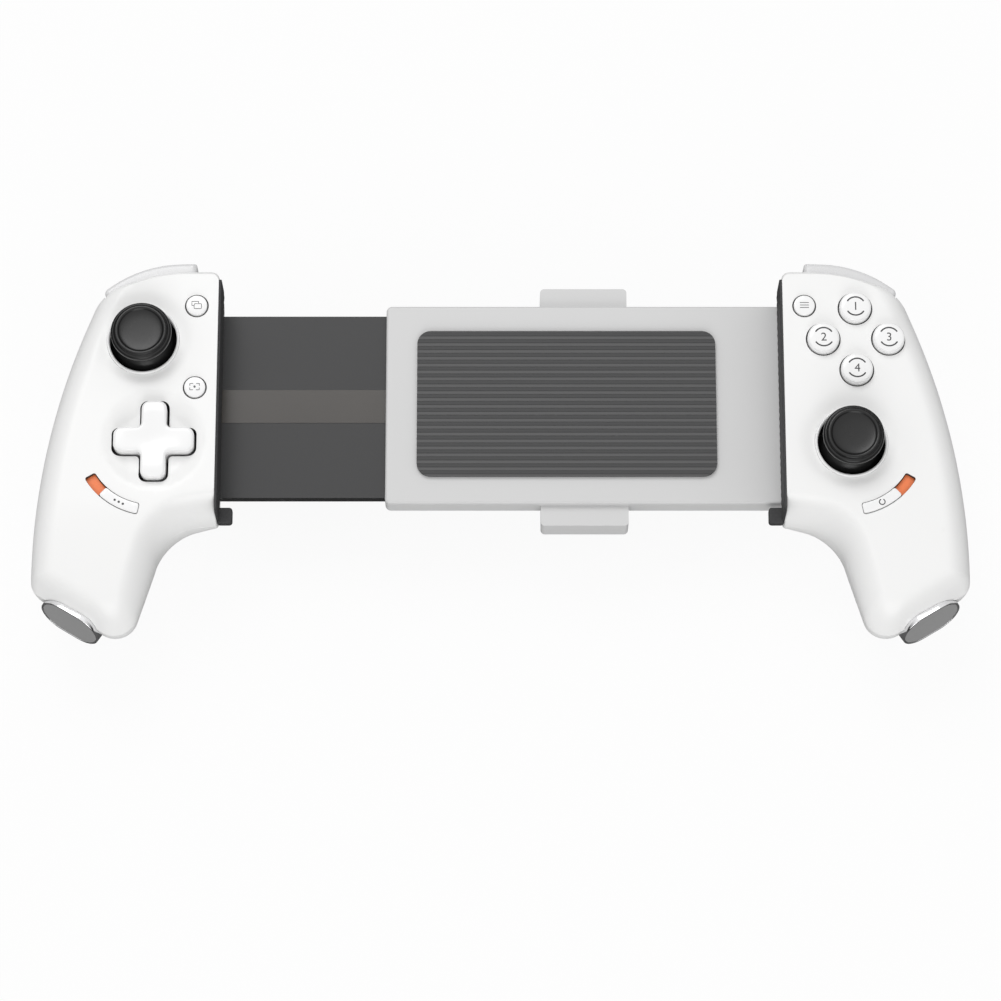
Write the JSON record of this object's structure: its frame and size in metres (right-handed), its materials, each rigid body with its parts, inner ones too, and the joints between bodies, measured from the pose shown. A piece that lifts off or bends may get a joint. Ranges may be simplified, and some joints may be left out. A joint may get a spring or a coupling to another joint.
{
  "type": "game controller",
  "caption": "Telescopic handheld game controller: two white grips on a sliding bridge that holds a phone, with thumbsticks, pad, buttons and triggers.",
  "frame": {"origin": "centre of the plane that the phone's back rests on, on the bridge's front pad", "axes": "+X to the right grip, +Y to the shoulder buttons, +Z out of the face"},
  "size_m": [0.266, 0.1091, 0.048],
  "materials": {
    "shell_white": "satin",
    "button_white": "gloss",
    "shoulder_white": "gloss",
    "stick_rubber": "matte",
    "cushion_rubber": "matte",
    "rest_rubber": "matte",
    "chrome": "mirror",
    "end_grey": "satin",
    "accent_orange": "satin",
    "rail_black": "matte",
    "inner_black": "matte",
    "board_green": "satin",
    "pad_silicone": "matte",
    "steel": "satin",
    "battery_foil": "satin",
    "cable_film": "satin"
  },
  "bodies": {
    "right_half": {"right_front_shell": "shell_white", "right_rear_shell": "shell_white", "right_phone_cushion": "cushion_rubber", "right_end_ring": "chrome", "right_end_plate": "end_grey", "right_accent": "accent_orange", "right_stick_ring": "shoulder_white", "right_stick_housing": "inner_black", "right_circuit_board": "board_green", "right_button_pad": "pad_silicone", "right_shell_screws": "steel", "right_trigger_pin": "steel", "right_trigger_spring": "steel", "bridge_front_cover": "shell_white", "bridge_rear_cover": "shell_white", "bridge_pad": "rest_rubber", "bridge_springs": "steel", "charge_port": "steel", "battery_pack": "battery_foil"},
    "left_half": {"left_front_shell": "shell_white", "left_rear_shell": "shell_white", "left_phone_cushion": "cushion_rubber", "left_end_ring": "chrome", "left_end_plate": "end_grey", "left_accent": "accent_orange", "left_stick_ring": "shoulder_white", "left_stick_housing": "inner_black", "left_circuit_board": "board_green", "left_button_pad": "pad_silicone", "left_shell_screws": "steel", "left_trigger_pin": "steel", "left_trigger_spring": "steel", "bridge_rail": "rail_black", "ribbon_cable": "cable_film", "dpad_post": "inner_black"},
    "right_stick_yoke": {"right_stick_yoke": "inner_black"},
    "right_stick_ball": {"right_stick_ball": "inner_black"},
    "right_stick_cap": {"right_stick_lever": "steel", "right_stick_cap": "stick_rubber"},
    "left_stick_yoke": {"left_stick_yoke": "inner_black"},
    "left_stick_ball": {"left_stick_ball": "inner_black"},
    "left_stick_cap": {"left_stick_lever": "steel", "left_stick_cap": "stick_rubber"},
    "face_button_top": {"face_button_top": "button_white"},
    "face_button_left": {"face_button_left": "button_white"},
    "face_button_right": {"face_button_right": "button_white"},
    "face_button_bottom": {"face_button_bottom": "button_white"},
    "menu_button": {"menu_button": "button_white"},
    "right_arc_button": {"right_arc_button": "button_white"},
    "view_button": {"view_button": "button_white"},
    "capture_button": {"capture_button": "button_white"},
    "left_arc_button": {"left_arc_button": "button_white"},
    "right_bumper": {"right_bumper": "shoulder_white"},
    "right_trigger": {"right_trigger": "shoulder_white"},
    "left_bumper": {"left_bumper": "shoulder_white"},
    "left_trigger": {"left_trigger": "shoulder_white"},
    "dpad_pivot": {"dpad_pivot": "inner_black"},
    "dpad": {"dpad": "button_white"}
  },
  "joints": [
    {"name": "bridge_slide", "type": "slide", "parent": "right_half", "child": "left_half", "axis": [-1, 0, 0], "range_m": [-0.046, 0.008], "deforming": ["bridge_springs"]},
    {"name": "right_stick_tilt_x", "type": "hinge", "parent": "right_half", "child": "right_stick_yoke", "pos_m": [0.0994, -0.016, 0.0015], "axis": [1, 0, 0], "range_deg": [-15, 15], "stiffness_Nm_per_rad": 0.02},
    {"name": "right_stick_tilt_y", "type": "hinge", "parent": "right_stick_yoke", "child": "right_stick_ball", "pos_m": [0.0994, -0.016, 0.0015], "axis": [0, 1, 0], "range_deg": [-15, 15], "stiffness_Nm_per_rad": 0.02},
    {"name": "right_stick_press", "type": "slide", "parent": "right_stick_ball", "child": "right_stick_cap", "axis": [0, 0, -1], "range_m": [0, 0.0005], "stiffness_N_per_m": 1500},
    {"name": "left_stick_tilt_x", "type": "hinge", "parent": "left_half", "child": "left_stick_yoke", "pos_m": [-0.102, 0.0148, 0.0015], "axis": [1, 0, 0], "range_deg": [-15, 15], "stiffness_Nm_per_rad": 0.02},
    {"name": "left_stick_tilt_y", "type": "hinge", "parent": "left_stick_yoke", "child": "left_stick_ball", "pos_m": [-0.102, 0.0148, 0.0015], "axis": [0, 1, 0], "range_deg": [-15, 15], "stiffness_Nm_per_rad": 0.02},
    {"name": "left_stick_press", "type": "slide", "parent": "left_stick_ball", "child": "left_stick_cap", "axis": [0, 0, -1], "range_m": [0, 0.0005], "stiffness_N_per_m": 1500},
    {"name": "face_button_top_press", "type": "slide", "parent": "right_half", "child": "face_button_top", "axis": [0, 0, -1], "range_m": [0, 0.0012], "stiffness_N_per_m": 400},
    {"name": "face_button_left_press", "type": "slide", "parent": "right_half", "child": "face_button_left", "axis": [0, 0, -1], "range_m": [0, 0.0012], "stiffness_N_per_m": 400},
    {"name": "face_button_right_press", "type": "slide", "parent": "right_half", "child": "face_button_right", "axis": [0, 0, -1], "range_m": [0, 0.0012], "stiffness_N_per_m": 400},
    {"name": "face_button_bottom_press", "type": "slide", "parent": "right_half", "child": "face_button_bottom", "axis": [0, 0, -1], "range_m": [0, 0.0012], "stiffness_N_per_m": 400},
    {"name": "menu_button_press", "type": "slide", "parent": "right_half", "child": "menu_button", "axis": [0, 0, -1], "range_m": [0, 0.0008], "stiffness_N_per_m": 400},
    {"name": "right_arc_button_press", "type": "slide", "parent": "right_half", "child": "right_arc_button", "axis": [0, 0, -1], "range_m": [0, 0.0008], "stiffness_N_per_m": 400},
    {"name": "view_button_press", "type": "slide", "parent": "left_half", "child": "view_button", "axis": [0, 0, -1], "range_m": [0, 0.0008], "stiffness_N_per_m": 400},
    {"name": "capture_button_press", "type": "slide", "parent": "left_half", "child": "capture_button", "axis": [0, 0, -1], "range_m": [0, 0.0008], "stiffness_N_per_m": 400},
    {"name": "left_arc_button_press", "type": "slide", "parent": "left_half", "child": "left_arc_button", "axis": [0, 0, -1], "range_m": [0, 0.0008], "stiffness_N_per_m": 400},
    {"name": "right_bumper_swing", "type": "hinge", "parent": "right_half", "child": "right_bumper", "pos_m": [0.089, 0.0319, 0.005], "axis": [0, 0, -1], "range_deg": [0, 2.3], "stiffness_Nm_per_rad": 0.5},
    {"name": "right_trigger_pull", "type": "hinge", "parent": "right_half", "child": "right_trigger", "pos_m": [0.1015, 0.03, -0.0056], "axis": [-1, 0, 0], "range_deg": [0, 18], "stiffness_Nm_per_rad": 0.1, "springref_deg": -5.73},
    {"name": "left_bumper_swing", "type": "hinge", "parent": "left_half", "child": "left_bumper", "pos_m": [-0.089, 0.0319, 0.005], "axis": [0, 0, 1], "range_deg": [0, 2.3], "stiffness_Nm_per_rad": 0.5},
    {"name": "left_trigger_pull", "type": "hinge", "parent": "left_half", "child": "left_trigger", "pos_m": [-0.1015, 0.03, -0.0056], "axis": [-1, 0, 0], "range_deg": [0, 18], "stiffness_Nm_per_rad": 0.1, "springref_deg": -5.73},
    {"name": "dpad_tilt_x", "type": "hinge", "parent": "left_half", "child": "dpad_pivot", "pos_m": [-0.09815, -0.0155, 0.005], "axis": [1, 0, 0], "range_deg": [-4, 4], "stiffness_Nm_per_rad": 0.05},
    {"name": "dpad_tilt_y", "type": "hinge", "parent": "dpad_pivot", "child": "dpad", "pos_m": [-0.09815, -0.0155, 0.005], "axis": [0, 1, 0], "range_deg": [-4, 4], "stiffness_Nm_per_rad": 0.05}
  ]
}
